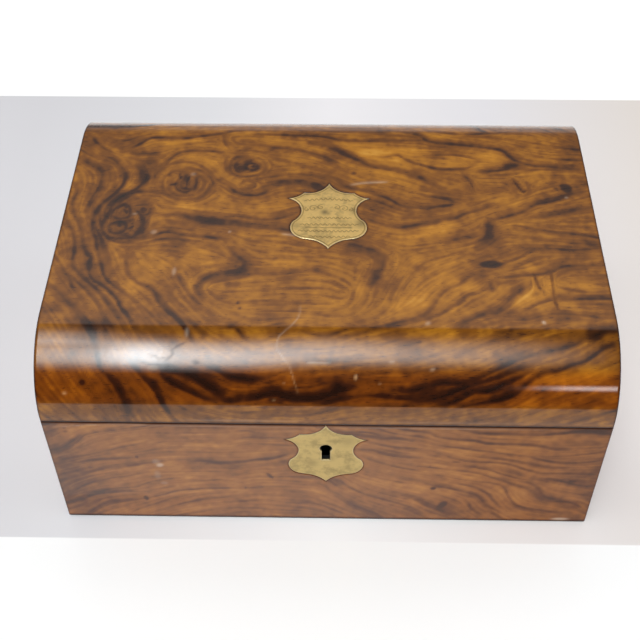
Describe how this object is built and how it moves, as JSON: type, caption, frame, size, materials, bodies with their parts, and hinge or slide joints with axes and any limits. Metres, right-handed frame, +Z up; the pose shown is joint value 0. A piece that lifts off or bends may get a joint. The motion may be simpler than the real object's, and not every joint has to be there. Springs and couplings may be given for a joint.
{
  "type": "writing slope",
  "caption": "Dome-topped veneered box that opens flat into a sloping writing surface, with brass lock, butt hinges, writing flaps, pen tray and inkwells.",
  "frame": {"origin": "middle of the underside, on the surface that the box stands on", "axes": "+X to the right along the lock side, +Y from the lock side to the hinge side, +Z up"},
  "size_m": [0.305, 0.2308, 0.135],
  "materials": {
    "walnut_veneer": "french polished figured walnut veneer",
    "walnut_lipping": "solid walnut, oiled",
    "pine": "bare pine carcass",
    "brass": "worn polished brass",
    "steel": "filed steel",
    "leather": "tooled skiver",
    "baize": "green wool baize",
    "glass": "cut glass"
  },
  "bodies": {
    "base": {"base_baize": "baize", "base_bottom": "pine", "base_front_wall": "pine", "base_back_wall": "pine", "base_left_wall": "pine", "base_right_wall": "pine", "base_front_veneer": "walnut_veneer", "base_back_veneer": "walnut_veneer", "base_left_veneer": "walnut_veneer", "base_right_veneer": "walnut_veneer", "base_rim": "walnut_lipping", "escutcheon": "brass", "lock_case": "brass", "lock_cap": "brass", "lock_bolt_spring": "steel", "lock_drill_pin": "steel", "left_hinge_base_leaf": "brass", "right_hinge_base_leaf": "brass", "base_back_rail_strip": "walnut_lipping", "base_flap_ledges": "walnut_lipping", "base_flap_butts_fixed": "brass", "well_divider": "walnut_lipping", "well_partitions": "walnut_lipping", "pen_tray": "walnut_lipping", "pen_tray_bearers": "pine", "inkwell_blocks": "pine", "left_inkwell": "glass", "right_inkwell": "glass", "left_inkwell_collar": "brass", "right_inkwell_collar": "brass"},
    "lid": {"lid_front_rail": "pine", "lid_back_rail": "pine", "lid_top_panel": "pine", "lid_left_end": "pine", "lid_right_end": "pine", "lid_veneer": "walnut_veneer", "lid_left_end_veneer": "walnut_veneer", "lid_right_end_veneer": "walnut_veneer", "lid_rim": "walnut_lipping", "cartouche": "brass", "link_plate": "brass", "lock_staples": "steel", "left_hinge_lid_leaf": "brass", "right_hinge_lid_leaf": "brass", "lid_back_rail_strip": "walnut_lipping", "lid_flap_ledges": "walnut_lipping", "lid_flap_butts_fixed": "brass"},
    "base_flap": {"base_flap_board": "walnut_lipping", "base_flap_leather": "leather", "base_flap_butts_moving": "brass"},
    "lid_flap": {"lid_flap_board": "walnut_lipping", "lid_flap_leather": "leather", "lid_flap_butts_moving": "brass"},
    "lock_bolt": {"lock_bolt": "steel"},
    "left_inkwell_cap": {"left_inkwell_cap": "brass"},
    "right_inkwell_cap": {"right_inkwell_cap": "brass"}
  },
  "joints": [
    {"name": "lid_hinge", "type": "hinge", "parent": "base", "child": "lid", "pos_m": [0, 0.11425, 0.0675], "axis": [-1, 0, 0], "range_deg": [0, 180]},
    {"name": "base_flap_hinge", "type": "hinge", "parent": "base", "child": "base_flap", "pos_m": [0, 0.08981, 0.06847], "axis": [-1, 0, 0], "range_deg": [0, 90]},
    {"name": "lid_flap_hinge", "type": "hinge", "parent": "lid", "child": "lid_flap", "pos_m": [0, 0.09019, 0.07195], "axis": [1, 0, 0], "range_deg": [0, 90]},
    {"name": "lock_bolt_slide", "type": "slide", "parent": "base", "child": "lock_bolt", "axis": [1, 0, 0], "range_m": [0, 0.005]},
    {"name": "left_inkwell_cap_hinge", "type": "hinge", "parent": "base", "child": "left_inkwell_cap", "pos_m": [-0.1195, -0.0657, 0.058], "axis": [-1, 0, 0], "range_deg": [0, 90]},
    {"name": "right_inkwell_cap_hinge", "type": "hinge", "parent": "base", "child": "right_inkwell_cap", "pos_m": [0.1195, -0.0657, 0.058], "axis": [-1, 0, 0], "range_deg": [0, 90]}
  ],
  "couplings": [
    {"joint": "base_flap_hinge", "follows": "lid_hinge", "ratio": 0.5},
    {"joint": "lid_flap_hinge", "follows": "lid_hinge", "ratio": 0.5}
  ]
}
